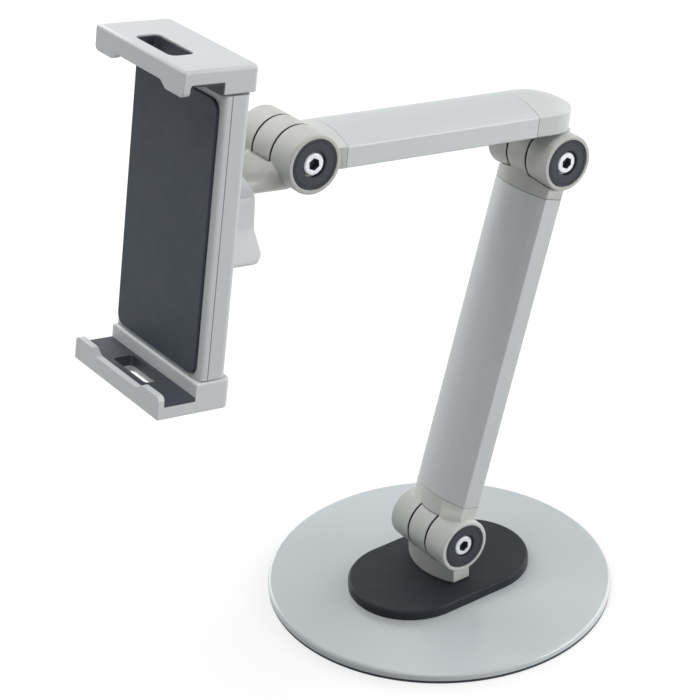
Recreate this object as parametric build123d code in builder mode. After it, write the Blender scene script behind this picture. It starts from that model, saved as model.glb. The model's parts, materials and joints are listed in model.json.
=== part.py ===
"""Folding desk stand for a tablet: weighted disc, swivelling foot, two hinged arms and a spring clamp.

Millimetres. +X runs along the three hinge bolts, the tablet faces -Y, and +Z is up. The origin is the
middle of the disc's rubber pad, on the desk.
"""

from math import cos, radians, sin
import os

from build123d import *

os.makedirs("parts", exist_ok=True)

# Weighted base
BASE_RADIUS = 85.0
RUBBER_THICKNESS = 1.3
RUBBER_INSET = 0.2
DISC_THICKNESS = 3.5
DISC_RIM_ROUND = 1.6
PLATE_LENGTH = 96.6
PLATE_WIDTH = 61.3
PLATE_THICKNESS = 5.0
PLATE_ROUND = 1.4
PLATE_WEB = 3.2
BASE_WELL_RADIUS = 12.0
PLATE_SCREW_SPACING = 66.0
PLATE_SCREW_RADIUS = 2.0
PLATE_SCREW_HEAD_RADIUS = 3.9
PLATE_SCREW_DEPTH = 7.0

# Swivel under the foot
SWIVEL_BOLT_RADIUS = 4.0
SWIVEL_HEAD_RADIUS = 6.5
SWIVEL_HEAD_HEIGHT = 4.0
SWIVEL_SOCKET = 5.0
SWIVEL_WASHER_RADIUS = 10.5
SWIVEL_WASHER_THICKNESS = 1.0
SWIVEL_THREAD_DEPTH = 12.0
FOOT_WASHER_RADIUS = 9.0
FOOT_WASHER_THICKNESS = 0.5

# Section shared by the foot and both arms: flat sides and crowned faces
SECTION_WIDTH = 36.8
SECTION_EDGE = 9.4
ARM_CROWN = 18.8
FOOT_CROWN = 20.2
SECTION_ROUND = 0.7

# Hinge barrels
BARREL_RADIUS = 13.5
BARREL_LENGTH = 42.2
BARREL_RIM_ROUND = 1.0
TONGUE_WIDTH = 12.4
KNUCKLE_GAP = 1.2
SWING_GAP = 0.35
RUNNING_FIT = 0.05
BOLT_RADIUS = 3.0
BOLT_HEAD_RADIUS = 5.0
BOLT_HEAD_HEIGHT = 6.0
BOLT_HEAD_SINK = 0.7
BOLT_SOCKET = 5.0
BOLT_SOCKET_DEPTH = 3.2
NUT_FLATS = 10.0
NUT_THICKNESS = 6.0
NUT_FLOOR = 12.4
CAP_RADIUS = 11.1
CAP_THICKNESS = 2.2
CAP_SINK = 0.35
CAP_OPENING_RADIUS = 5.9
CAP_FIT = 0.35
HINGE_WASHER_RADIUS = 13.3
HINGE_WASHER_THICKNESS = 1.1

# Arms
BASE_AXIS_HEIGHT = 30.9
LOWER_ARM_LENGTH = 195.7
LOWER_ARM_LEAN = 17.8
UPPER_ARM_LENGTH = 143.7
UPPER_ARM_RISE = 7.9
LOWER_BOTTOM_SEAM = 19.3
LOWER_TOP_SEAM = 18.5
UPPER_ELBOW_SEAM = 18.4
UPPER_HEAD_SEAM = 18.5
ARM_WALL = 2.0
SPIGOT_FIT = 0.15
SPIGOT_LENGTH = 24.0
SEAM_GAP = 0.2
ELBOW_TAIL = 10.6
ELBOW_RIB = 6.5
ELBOW_RIB_REAR = 5.5
ARM_SCREW_RADIUS = 1.5
ARM_SCREW_HEAD_RADIUS = 2.9
ARM_SCREW_LENGTH = 8.0
ARM_SCREW_SINK = 0.35
SEAT_LEAD = 0.5
ARM_SCREW_FIRST = 7.0
ARM_SCREW_PITCH = 10.0

# Head: v runs up the panel and n out of its front face, from the panel's middle
HEAD_TILT = 9.25
HEAD_REACH = 57.9
SWIVEL_RISE = 24.1
HOUSING_WIDTH = 68.0
HOUSING_TOP = 63.3
HOUSING_DEPTH = 13.5
HOUSING_SEAM = 4.1
HOUSING_WALL = 2.0
HOUSING_BACK_ROUND = 3.0
HOUSING_FRONT_ROUND = 2.4
SHELL_GAP = 0.3
PAD_WIDTH = 62.6
PAD_TOP_INSET = 2.7
PAD_BOTTOM_INSET = 1.6
PAD_CORNER = 5.0
PAD_THICKNESS = 2.0
PAD_RECESS = 0.8
PAD_FIT = 0.15

# Jaws
JAW_WIDTH = 68.6
UPPER_JAW_HEIGHT = 12.1
LOWER_JAW_HEIGHT = 14.6
JAW_PLATE = 6.0
JAW_BACK = 15.9
LIP_FRONT = 19.4
LIP_THICKNESS = 3.0
TOOTH_REACH = 11.0
LIP_MIDDLE_REACH = 8.2
TOOTH_INNER = 20.8
TOOTH_SLOPE = 4.3
UPPER_JAW_GAP = 1.0
LOWER_JAW_GAP = 0.2
JAW_BACK_ROUND = 2.5
JAW_EDGE_ROUND = 1.5
JAW_INNER_ROUND = 1.5
JAW_BLOCK_ROUND = 1.5
TOOTH_ROUND = 2.4
NOTCH_ROUND = 2.5
SLOT_LENGTH = 29.0
SLOT_FRONT = 13.8
SLOT_BACK = 2.0
SLOT_CORNER = 3.0
LINING = 0.9
UPPER_SLEEVE_LENGTH = 5.4
LOWER_SLEEVE_LENGTH = 3.0
GRIP_THICKNESS = 1.8
GRIP_FIT = 0.1
JAW_TAB_WIDTH = 48.0
JAW_TAB_REACH = 10.0
JAW_TAB_THICKNESS = 3.0
JAW_TAB_SEAT = 4.5
JAW_TAB_FIT = 0.2
JAW_SCREW_SPACING = 26.0
JAW_SCREW_INSET = 5.0
JAW_SCREW_RADIUS = 1.5
JAW_SCREW_HEAD_RADIUS = 2.8
JAW_SCREW_HEAD_HEIGHT = 1.8
JAW_SCREW_LENGTH = 6.8

# Slide rods and springs inside the head
ROD_SPACING = 40.0
ROD_DEPTH = 7.4
ROD_RADIUS = 2.0
ROD_LENGTH = 117.0
ROD_NUT_RADIUS = 3.6
ROD_NUT_HEIGHT = 3.0
ROD_IN_JAW = 7.0
ROD_END_ROOM = 15.1
ROD_HOLE_SPARE = 0.3
GUIDE_WIDTH = 52.0
GUIDE_HEIGHT = 11.0
SPRING_INNER = 2.4
SPRING_OUTER = 3.6
SPRING_GAP = 0.2

# Screws that hold the shells together
SHELL_SCREW_X = 28.4
SHELL_SCREW_TOP_INSET = 21.3
SHELL_SCREW_BOTTOM_INSET = 10.8
SHELL_SCREW_RADIUS = 1.25
SHELL_SCREW_HEAD_RADIUS = 2.4
SHELL_SCREW_HEAD_HEIGHT = 1.6
SHELL_SCREW_SINK = 0.2
SHELL_SCREW_LENGTH = 7.2
SHELL_BOSS_RADIUS = 2.9
SHELL_BOSS_HEIGHT = 2.0

# Bracket, spindle and lock lever behind the head
NECK_RADIUS = 16.9
NECK_START = 4.0
NECK_BEND = 13.0
NECK_WAIST = 24.0
NECK_DROP = 1.0
NECK_WAIST_DROP = 6.0
NECK_END_DROP = 4.0
NECK_SHOULDER_ROUND = 6.5
NECK_WAIST_ROUND = 4.0
FLANGE_RADIUS = 12.0
FLANGE_BACK = 31.7
FLANGE_FACE = 35.2
SPINDLE_RADIUS = 7.5
SPINDLE_SPARE = 0.1
HUB_RADIUS = 17.0
HUB_FACE = 40.2
LEVER_CLEARANCE = 0.3
LEVER_COLLAR = 1.2
LEVER_COLLAR_DROP = 16.0
LEVER_BACK = 36.6
LEVER_HALF_WIDTH = 10.0
LEVER_FLARE_HALF_WIDTH = 13.2
LEVER_CREASE = 30.0
LEVER_REACH = 46.5
LEVER_CREASE_BACK = 37.5
LEVER_HEEL_BACK = 41.0
LEVER_HEEL_RISE = 4.9
LEVER_FOOT_BACK = 38.7
LEVER_FOOT_RISE = 0.6
LEVER_FOOT_FRONT = 27.0
LEVER_EDGE_ROUND = 0.8
LEVER_HEEL_ROUND = 2.5
LEVER_CORNER_ROUND = 2.5
SPINDLE_SCREW_RADIUS = 2.5
SPINDLE_SCREW_HEAD_RADIUS = 4.5
SPINDLE_SCREW_HEAD_HEIGHT = 3.0
SPINDLE_SCREW_LENGTH = 12.0
SPINDLE_WASHER_RADIUS = 10.5
SPINDLE_WASHER_THICKNESS = 1.2

# Heights and places that follow from the sizes above
disc_bottom = RUBBER_THICKNESS
disc_top = disc_bottom + DISC_THICKNESS
plate_top = disc_top + PLATE_THICKNESS
web_bottom = plate_top - PLATE_WEB
foot_bottom = plate_top + FOOT_WASHER_THICKNESS
swivel_washer_bottom = web_bottom - SWIVEL_WASHER_THICKNESS
swivel_head_bottom = swivel_washer_bottom - SWIVEL_HEAD_HEIGHT
barrel_end = BARREL_LENGTH / 2
tongue_side = TONGUE_WIDTH / 2
clevis_side = tongue_side + KNUCKLE_GAP
cap_face = barrel_end - CAP_SINK
cap_floor = cap_face - CAP_THICKNESS
bolt_top = barrel_end - BOLT_HEAD_SINK
bolt_floor = bolt_top - BOLT_HEAD_HEIGHT
arm_half_crown = ARM_CROWN / 2

lower_arm_frame = Plane(
    origin=(0, 0, BASE_AXIS_HEIGHT),
    x_dir=(1, 0, 0),
    z_dir=(0, sin(radians(LOWER_ARM_LEAN)), cos(radians(LOWER_ARM_LEAN))),
)
base_axis = lower_arm_frame.origin
elbow_axis = lower_arm_frame.from_local_coords(Vector(0, 0, LOWER_ARM_LENGTH))
upper_arm_frame = Plane(
    origin=elbow_axis,
    x_dir=(1, 0, 0),
    z_dir=(0, -cos(radians(UPPER_ARM_RISE)), sin(radians(UPPER_ARM_RISE))),
)
# The upper arm lies one whole section above the elbow, so that the two arms fold flat together
upper_mid_frame = Plane(
    origin=upper_arm_frame.from_local_coords(Vector(0, ARM_CROWN, 0)),
    x_dir=(1, 0, 0),
    z_dir=upper_arm_frame.z_dir,
)
head_axis = upper_mid_frame.from_local_coords(Vector(0, 0, UPPER_ARM_LENGTH))
swivel_frame = Plane(
    origin=head_axis,
    x_dir=(1, 0, 0),
    z_dir=(0, -cos(radians(HEAD_TILT)), sin(radians(HEAD_TILT))),
)
panel_frame = Plane(
    origin=swivel_frame.from_local_coords(Vector(0, -SWIVEL_RISE, HEAD_REACH)),
    x_dir=(1, 0, 0),
    z_dir=swivel_frame.z_dir,
)
# Side view of the head: first coordinate v, second coordinate n
panel_side = Plane(origin=panel_frame.origin, x_dir=panel_frame.y_dir, z_dir=(1, 0, 0))


def save(piece, name):
    """Labels a finished piece and writes it under its name."""
    piece.part.label = name
    export_step(piece.part, f"parts/{name}.step")


def across(centre, x):
    """Plane square to the hinge bolts, x from the middle of the stand."""
    return Plane(origin=(x, centre.Y, centre.Z), z_dir=(1, 0, 0))


def disc(plane, radius):
    """Round sketch."""
    with BuildSketch(plane) as outline:
        Circle(radius)
    return outline.sketch


def hexagon(plane, flats):
    """Hexagonal sketch, measured across its flats."""
    with BuildSketch(plane) as outline:
        RegularPolygon(radius=flats / 2, side_count=6, major_radius=False)
    return outline.sketch


def crowned_section(plane, crown, inset=0.0):
    """Section with flat sides and crowned faces, drawn in by the inset."""
    half_width = SECTION_WIDTH / 2
    half_edge = SECTION_EDGE / 2
    with BuildSketch(plane) as section:
        with BuildLine():
            Line((half_width, -half_edge), (half_width, half_edge))
            ThreePointArc((half_width, half_edge), (0, crown / 2), (-half_width, half_edge))
            Line((-half_width, half_edge), (-half_width, -half_edge))
            ThreePointArc((-half_width, -half_edge), (0, -crown / 2), (half_width, -half_edge))
        make_face()
        fillet(section.vertices(), SECTION_ROUND)
        if inset:
            offset(amount=-inset, mode=Mode.REPLACE)
    return section.sketch


def box_outline(plane, left, right, low, high):
    """Rectangle sketch between four coordinates."""
    with BuildSketch(plane) as outline:
        with Locations(((left + right) / 2, (low + high) / 2)):
            Rectangle(right - left, high - low)
    return outline.sketch


def add_knuckles(centre):
    """Outer pair of knuckles of a hinge, with rounded rims, added to the piece in hand."""
    for side in (-1, 1):
        extrude(
            disc(across(centre, side * clevis_side), BARREL_RADIUS),
            amount=side * (barrel_end - clevis_side),
        )


def cut_knuckles(centre):
    """Room for the tongue, the bolt, its head, its nut and both caps, cut from the piece in hand."""
    middle = across(centre, 0)
    extrude(disc(middle, BARREL_RADIUS + SWING_GAP), amount=clevis_side, both=True, mode=Mode.SUBTRACT)
    extrude(disc(middle, BOLT_RADIUS + RUNNING_FIT), amount=barrel_end, both=True, mode=Mode.SUBTRACT)
    extrude(
        disc(across(centre, bolt_floor), CAP_OPENING_RADIUS),
        amount=barrel_end - bolt_floor,
        mode=Mode.SUBTRACT,
    )
    extrude(
        hexagon(across(centre, -NUT_FLOOR), NUT_FLATS + 2 * RUNNING_FIT),
        amount=NUT_FLOOR - barrel_end,
        mode=Mode.SUBTRACT,
    )
    for side in (-1, 1):
        extrude(
            disc(across(centre, side * cap_floor), CAP_RADIUS + CAP_FIT),
            amount=side * (barrel_end - cap_floor),
            mode=Mode.SUBTRACT,
        )


def rims(piece, centre):
    """Outer edges of a hinge's two ends."""
    def is_rim(edge):
        middle = edge.arc_center
        return (
            abs(edge.radius - BARREL_RADIUS) < 0.01
            and abs(abs(middle.X) - barrel_end) < 0.01
            and abs(middle.Y - centre.Y) < 0.01
        )
    return piece.edges().filter_by(GeomType.CIRCLE).filter_by(is_rim)


def add_tongue(centre):
    """Middle knuckle of a hinge on the end of the piece in hand, hollowed beside it for the outer pair."""
    for side in (-1, 1):
        extrude(
            disc(across(centre, side * tongue_side), BARREL_RADIUS + SWING_GAP),
            amount=side * barrel_end,
            mode=Mode.SUBTRACT,
        )
    middle = across(centre, 0)
    extrude(disc(middle, BARREL_RADIUS), amount=tongue_side, both=True)
    extrude(disc(middle, BOLT_RADIUS + RUNNING_FIT), amount=tongue_side, both=True, mode=Mode.SUBTRACT)


def arm_screw_places(frame, seam, inward, face):
    """Planes on the crown of an arm where the screws of one end go in, facing outwards."""
    return [
        Plane(
            origin=frame.from_local_coords(
                Vector(0, face * arm_half_crown, seam + inward * (ARM_SCREW_FIRST + step * ARM_SCREW_PITCH))
            ),
            x_dir=(1, 0, 0),
            z_dir=frame.y_dir * face,
        )
        for step in (0, 1)
    ]


def cut_screw_seats(places):
    """Countersunk holes at the given planes, cut from the piece in hand."""
    wide = ARM_SCREW_HEAD_RADIUS + ARM_SCREW_SINK
    narrow = ARM_SCREW_RADIUS + RUNNING_FIT
    depth = ARM_SCREW_SINK + ARM_SCREW_LENGTH + SPIGOT_FIT
    for place in places:
        extrude(
            disc(place.offset(SEAT_LEAD), narrow), amount=-SEAT_LEAD - depth, mode=Mode.SUBTRACT
        )
        with Locations(place.offset((SEAT_LEAD - wide + narrow) / 2)):
            Cone(
                bottom_radius=narrow,
                top_radius=wide + SEAT_LEAD,
                height=wide - narrow + SEAT_LEAD,
                mode=Mode.SUBTRACT,
            )


def add_countersunk_screws(places, radius, head_radius, length, sink, socket):
    """Countersunk screws with a hexagonal socket, their heads sunk a little below the given planes."""
    head_height = head_radius - radius
    for place in places:
        top = place.offset(-sink)
        with Locations(top.offset(-head_height / 2)):
            Cone(bottom_radius=radius, top_radius=head_radius, height=head_height)
        extrude(disc(top.offset(-head_height), radius), amount=head_height - length)
        extrude(hexagon(top, socket), amount=-head_height, mode=Mode.SUBTRACT)


# Rubber pad stuck under the disc, over the screws and the swivel bolt
with BuildPart() as base_rubber_pad:
    extrude(disc(Plane.XY, BASE_RADIUS - RUBBER_INSET), amount=RUBBER_THICKNESS)
save(base_rubber_pad, "base_rubber_pad")

plate_screw_places = [
    Plane(origin=(0, side * PLATE_SCREW_SPACING / 2, disc_bottom), x_dir=(1, 0, 0), z_dir=(0, 0, -1))
    for side in (-1, 1)
]

# Heavy painted disc with a rounded upper rim
with BuildPart() as base_disc:
    extrude(disc(Plane.XY.offset(disc_bottom), BASE_RADIUS), amount=DISC_THICKNESS)
    fillet(base_disc.edges().group_by(Axis.Z)[-1], DISC_RIM_ROUND)
    extrude(
        disc(Plane.XY.offset(disc_bottom), BASE_WELL_RADIUS), amount=DISC_THICKNESS, mode=Mode.SUBTRACT
    )
    for place in plate_screw_places:
        with Locations(place):
            CounterSinkHole(
                radius=PLATE_SCREW_RADIUS + RUNNING_FIT,
                counter_sink_radius=PLATE_SCREW_HEAD_RADIUS + RUNNING_FIT,
                counter_sink_angle=90,
                depth=DISC_THICKNESS,
            )
save(base_disc, "base_disc")

# Long round-ended plate on the disc, hollowed below for the swivel bolt's head
with BuildPart() as base_plate:
    with BuildSketch(Plane.XY.offset(disc_top)):
        SlotOverall(PLATE_LENGTH, PLATE_WIDTH, rotation=90)
    extrude(amount=PLATE_THICKNESS)
    fillet(base_plate.edges().group_by(Axis.Z)[-1], PLATE_ROUND)
    extrude(
        disc(Plane.XY.offset(disc_top), BASE_WELL_RADIUS), amount=web_bottom - disc_top, mode=Mode.SUBTRACT
    )
    extrude(
        disc(Plane.XY.offset(web_bottom), SWIVEL_BOLT_RADIUS + 2 * RUNNING_FIT),
        amount=PLATE_WEB,
        mode=Mode.SUBTRACT,
    )
    for place in plate_screw_places:
        extrude(
            disc(place, PLATE_SCREW_RADIUS + RUNNING_FIT),
            amount=-PLATE_SCREW_DEPTH - SPIGOT_FIT,
            mode=Mode.SUBTRACT,
        )
save(base_plate, "base_plate")

with BuildPart() as base_plate_screws:
    add_countersunk_screws(
        plate_screw_places,
        PLATE_SCREW_RADIUS,
        PLATE_SCREW_HEAD_RADIUS,
        PLATE_SCREW_DEPTH,
        RUNNING_FIT,
        PLATE_SCREW_RADIUS * 1.25,
    )
save(base_plate_screws, "base_plate_screws")

# Thin washer that the foot turns on
with BuildPart() as foot_washer:
    extrude(disc(Plane.XY.offset(plate_top), FOOT_WASHER_RADIUS), amount=FOOT_WASHER_THICKNESS)
    extrude(
        disc(Plane.XY.offset(plate_top), SWIVEL_BOLT_RADIUS + 2 * RUNNING_FIT),
        amount=FOOT_WASHER_THICKNESS,
        mode=Mode.SUBTRACT,
    )
save(foot_washer, "foot_washer")

# Steel washer between the swivel bolt's head and the plate's web
with BuildPart() as swivel_washer:
    extrude(disc(Plane.XY.offset(swivel_washer_bottom), SWIVEL_WASHER_RADIUS), amount=SWIVEL_WASHER_THICKNESS)
    extrude(
        disc(Plane.XY.offset(swivel_washer_bottom), SWIVEL_BOLT_RADIUS + 2 * RUNNING_FIT),
        amount=SWIVEL_WASHER_THICKNESS,
        mode=Mode.SUBTRACT,
    )
save(swivel_washer, "swivel_washer")

# Bolt that holds the foot down from below and turns with it
with BuildPart() as swivel_bolt:
    extrude(disc(Plane.XY.offset(swivel_head_bottom), SWIVEL_HEAD_RADIUS), amount=SWIVEL_HEAD_HEIGHT)
    extrude(
        disc(Plane.XY.offset(swivel_washer_bottom), SWIVEL_BOLT_RADIUS),
        amount=foot_bottom + SWIVEL_THREAD_DEPTH - swivel_washer_bottom,
    )
    extrude(
        hexagon(Plane.XY.offset(swivel_head_bottom), SWIVEL_SOCKET),
        amount=SWIVEL_HEAD_HEIGHT / 2,
        mode=Mode.SUBTRACT,
    )
save(swivel_bolt, "swivel_bolt")

# Foot: the crowned section stood on end, with the base hinge's middle knuckle on top
with BuildPart() as foot:
    extrude(
        crowned_section(Plane.XY.offset(foot_bottom), FOOT_CROWN), amount=BASE_AXIS_HEIGHT - foot_bottom
    )
    add_tongue(base_axis)
    extrude(
        disc(Plane.XY.offset(foot_bottom), SWIVEL_BOLT_RADIUS + RUNNING_FIT),
        amount=SWIVEL_THREAD_DEPTH + SPIGOT_FIT,
        mode=Mode.SUBTRACT,
    )
save(foot, "foot")

# Bolt, nut, washers and end caps of the three hinges, all alike
for place, centre in (("base", base_axis), ("elbow", elbow_axis), ("head", head_axis)):
    with BuildPart() as hinge_bolt:
        extrude(disc(across(centre, bolt_floor), BOLT_HEAD_RADIUS), amount=BOLT_HEAD_HEIGHT)
        chamfer(hinge_bolt.edges().filter_by(GeomType.CIRCLE).sort_by(Axis.X)[-1], 0.5)
        extrude(disc(across(centre, bolt_floor), BOLT_RADIUS), amount=-bolt_floor - NUT_FLOOR - NUT_THICKNESS)
        extrude(
            hexagon(across(centre, bolt_top), BOLT_SOCKET), amount=-BOLT_SOCKET_DEPTH, mode=Mode.SUBTRACT
        )
    save(hinge_bolt, f"{place}_hinge_bolt")

    with BuildPart() as hinge_nut:
        extrude(hexagon(across(centre, -NUT_FLOOR), NUT_FLATS), amount=-NUT_THICKNESS)
        extrude(
            disc(across(centre, -NUT_FLOOR), BOLT_RADIUS + RUNNING_FIT),
            amount=-NUT_THICKNESS,
            mode=Mode.SUBTRACT,
        )
    save(hinge_nut, f"{place}_hinge_nut")

    with BuildPart() as hinge_washers:
        for side in (-1, 1):
            seat = across(centre, side * (tongue_side + (KNUCKLE_GAP - HINGE_WASHER_THICKNESS) / 2))
            extrude(disc(seat, HINGE_WASHER_RADIUS), amount=side * HINGE_WASHER_THICKNESS)
            extrude(
                disc(seat, BOLT_RADIUS + RUNNING_FIT),
                amount=side * HINGE_WASHER_THICKNESS,
                mode=Mode.SUBTRACT,
            )
    save(hinge_washers, f"{place}_hinge_washers")

    with BuildPart() as near_cap:
        extrude(disc(across(centre, cap_floor), CAP_RADIUS), amount=CAP_THICKNESS)
        extrude(disc(across(centre, cap_floor), CAP_OPENING_RADIUS), amount=CAP_THICKNESS, mode=Mode.SUBTRACT)
    save(near_cap, f"{place}_hinge_near_cap")

    with BuildPart() as far_cap:
        extrude(disc(across(centre, -cap_floor), CAP_RADIUS), amount=-CAP_THICKNESS)
    save(far_cap, f"{place}_hinge_far_cap")

# Lower arm: crowned tube between two moulded ends
lower_profile_start = LOWER_BOTTOM_SEAM + SEAM_GAP
lower_profile_end = LOWER_ARM_LENGTH - LOWER_TOP_SEAM - SEAM_GAP
lower_bottom_screws = arm_screw_places(lower_arm_frame, lower_profile_start, 1, 1)
lower_top_screws = arm_screw_places(lower_arm_frame, lower_profile_end, -1, 1)

with BuildPart() as lower_arm_tube:
    start = lower_arm_frame.offset(lower_profile_start)
    length = lower_profile_end - lower_profile_start
    extrude(crowned_section(start, ARM_CROWN), amount=length)
    extrude(crowned_section(start, ARM_CROWN, ARM_WALL), amount=length, mode=Mode.SUBTRACT)
    cut_screw_seats(lower_bottom_screws + lower_top_screws)
save(lower_arm_tube, "lower_arm_tube")

with BuildPart() as lower_arm_bottom_end:
    extrude(crowned_section(lower_arm_frame, ARM_CROWN), amount=LOWER_BOTTOM_SEAM)
    add_knuckles(base_axis)
    fillet(rims(lower_arm_bottom_end, base_axis), BARREL_RIM_ROUND)
    extrude(
        crowned_section(lower_arm_frame.offset(LOWER_BOTTOM_SEAM), ARM_CROWN, ARM_WALL + SPIGOT_FIT),
        amount=SPIGOT_LENGTH,
    )
    cut_knuckles(base_axis)
    cut_screw_seats(lower_bottom_screws)
save(lower_arm_bottom_end, "lower_arm_bottom_end")

with BuildPart() as lower_arm_top_end:
    extrude(
        crowned_section(lower_arm_frame.offset(LOWER_ARM_LENGTH - LOWER_TOP_SEAM), ARM_CROWN),
        amount=LOWER_TOP_SEAM,
    )
    add_tongue(elbow_axis)
    extrude(
        crowned_section(
            lower_arm_frame.offset(LOWER_ARM_LENGTH - LOWER_TOP_SEAM), ARM_CROWN, ARM_WALL + SPIGOT_FIT
        ),
        amount=-SPIGOT_LENGTH,
    )
    cut_screw_seats(lower_top_screws)
save(lower_arm_top_end, "lower_arm_top_end")

with BuildPart() as lower_arm_screws:
    add_countersunk_screws(
        lower_bottom_screws + lower_top_screws,
        ARM_SCREW_RADIUS,
        ARM_SCREW_HEAD_RADIUS,
        ARM_SCREW_LENGTH,
        ARM_SCREW_SINK,
        ARM_SCREW_RADIUS * 1.3,
    )
save(lower_arm_screws, "lower_arm_screws")

# Upper arm: the same tube, its screws underneath
upper_profile_start = UPPER_ELBOW_SEAM + SEAM_GAP
upper_profile_end = UPPER_ARM_LENGTH - UPPER_HEAD_SEAM - SEAM_GAP
upper_elbow_screws = arm_screw_places(upper_mid_frame, upper_profile_start, 1, -1)
upper_head_screws = arm_screw_places(upper_mid_frame, upper_profile_end, -1, -1)

with BuildPart() as upper_arm_tube:
    start = upper_mid_frame.offset(upper_profile_start)
    length = upper_profile_end - upper_profile_start
    extrude(crowned_section(start, ARM_CROWN), amount=length)
    extrude(crowned_section(start, ARM_CROWN, ARM_WALL), amount=length, mode=Mode.SUBTRACT)
    cut_screw_seats(upper_elbow_screws + upper_head_screws)
save(upper_arm_tube, "upper_arm_tube")

# Elbow end: the section turned round its own middle at the rear, outer knuckles hanging below it
half_width = SECTION_WIDTH / 2
round_centre = half_width - ELBOW_TAIL
rear_frame = upper_mid_frame.offset(round_centre)
with BuildPart() as upper_arm_elbow_end:
    extrude(crowned_section(rear_frame, ARM_CROWN), amount=UPPER_ELBOW_SEAM - round_centre)
    with BuildSketch(rear_frame):
        add(crowned_section(Plane.XY, ARM_CROWN))
        with Locations((-half_width, 0)):
            Rectangle(SECTION_WIDTH, ARM_CROWN, mode=Mode.SUBTRACT)
    revolve(axis=Axis(rear_frame.origin, rear_frame.y_dir), revolution_arc=180)
    for side in (-1, 1):
        extrude(
            box_outline(
                Plane(
                    origin=upper_arm_frame.origin + Vector(side * clevis_side, 0, 0),
                    x_dir=upper_arm_frame.z_dir,
                    z_dir=(1, 0, 0),
                ),
                -ELBOW_RIB_REAR,
                ELBOW_RIB,
                -ARM_CROWN + arm_half_crown / 2,
                0,
            ),
            amount=side * ELBOW_RIB,
        )
    add_knuckles(elbow_axis)
    fillet(rims(upper_arm_elbow_end, elbow_axis), BARREL_RIM_ROUND)
    extrude(
        crowned_section(upper_mid_frame.offset(UPPER_ELBOW_SEAM), ARM_CROWN, ARM_WALL + SPIGOT_FIT),
        amount=SPIGOT_LENGTH,
    )
    cut_knuckles(elbow_axis)
    cut_screw_seats(upper_elbow_screws)
save(upper_arm_elbow_end, "upper_arm_elbow_end")

with BuildPart() as upper_arm_head_end:
    start = upper_mid_frame.offset(UPPER_ARM_LENGTH - UPPER_HEAD_SEAM)
    extrude(crowned_section(start, ARM_CROWN), amount=UPPER_HEAD_SEAM)
    add_tongue(head_axis)
    extrude(crowned_section(start, ARM_CROWN, ARM_WALL + SPIGOT_FIT), amount=-SPIGOT_LENGTH)
    cut_screw_seats(upper_head_screws)
save(upper_arm_head_end, "upper_arm_head_end")

with BuildPart() as upper_arm_screws:
    add_countersunk_screws(
        upper_elbow_screws + upper_head_screws,
        ARM_SCREW_RADIUS,
        ARM_SCREW_HEAD_RADIUS,
        ARM_SCREW_LENGTH,
        ARM_SCREW_SINK,
        ARM_SCREW_RADIUS * 1.3,
    )
save(upper_arm_screws, "upper_arm_screws")

# Directions and heights of the head, in the panel's own v and n
panel_up = Axis(panel_frame.origin, panel_frame.y_dir)
panel_out = Axis(panel_frame.origin, panel_frame.z_dir)
back_face = -HOUSING_DEPTH
back_floor = back_face + HOUSING_WALL
seam_back = -HOUSING_SEAM - SHELL_GAP
tablet_face = PAD_THICKNESS - PAD_RECESS
hub_face = HUB_FACE - HEAD_REACH
lever_back = FLANGE_FACE + LEVER_CLEARANCE - HEAD_REACH
lever_front = hub_face - LEVER_CLEARANCE
spindle_end = back_floor + SPINDLE_SPARE
washer_front = spindle_end + SPINDLE_WASHER_THICKNESS
lip_back = LIP_FRONT - LIP_THICKNESS
upper_block_edge = HOUSING_TOP + UPPER_JAW_GAP
guide_bottom = HOUSING_TOP - HOUSING_WALL - GUIDE_HEIGHT
rod_top = upper_block_edge + ROD_IN_JAW
rod_bottom = rod_top - ROD_LENGTH
# The housing reaches just far enough below its middle to hold the rods
housing_bottom = ROD_END_ROOM - rod_bottom
lower_block_edge = housing_bottom + LOWER_JAW_GAP
pad_top = HOUSING_TOP - PAD_TOP_INSET
pad_bottom = housing_bottom - PAD_BOTTOM_INSET
# Outer face of the upper (1) and lower (-1) jaw, from the panel's middle
jaw_outer = {1: HOUSING_TOP + UPPER_JAW_HEIGHT, -1: housing_bottom + LOWER_JAW_HEIGHT}
upper_plate_inner = jaw_outer[1] - JAW_PLATE
lower_plate_inner = jaw_outer[-1] - JAW_PLATE
jaw_tab_back = back_face + JAW_TAB_SEAT
jaw_tab_front = jaw_tab_back + JAW_TAB_THICKNESS
jaw_tab_end = -housing_bottom + HOUSING_WALL + JAW_TAB_REACH


def level(v):
    """Plane square to the panel's height, with x and n as its coordinates, facing down."""
    return Plane(
        origin=panel_frame.from_local_coords(Vector(0, v, 0)), x_dir=(1, 0, 0), z_dir=-panel_frame.y_dir
    )


def facing(n):
    """Plane along the panel's face at depth n, with its middle on the swivel axis."""
    return Plane(
        origin=panel_frame.from_local_coords(Vector(0, SWIVEL_RISE, n)),
        x_dir=(1, 0, 0),
        z_dir=panel_frame.z_dir,
    )


def panel_box(left, right, low, high, back, front, mode=Mode.ADD):
    """Block between x, v and n limits, added to or cut from the piece in hand."""
    extrude(box_outline(panel_frame.offset(back), left, right, low, high), amount=front - back, mode=mode)


def polygon(plane, points):
    """Sketch through the given corners."""
    with BuildSketch(plane) as outline:
        with BuildLine():
            Polyline(*points, close=True)
        make_face()
    return outline.sketch


def jaw_outline(end, block_edge, block_front):
    """Side view of a jaw: plate, lip and the block behind, for the upper (1) or lower (-1) end."""
    outer = jaw_outer[end]
    return polygon(
        panel_side,
        [
            (end * block_edge, -JAW_BACK),
            (end * outer, -JAW_BACK),
            (end * outer, LIP_FRONT),
            (end * (outer - TOOTH_REACH), LIP_FRONT),
            (end * (outer - TOOTH_REACH), lip_back),
            (end * (outer - JAW_PLATE), lip_back),
            (end * (outer - JAW_PLATE), block_front),
            (end * block_edge, block_front),
        ],
    )


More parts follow.
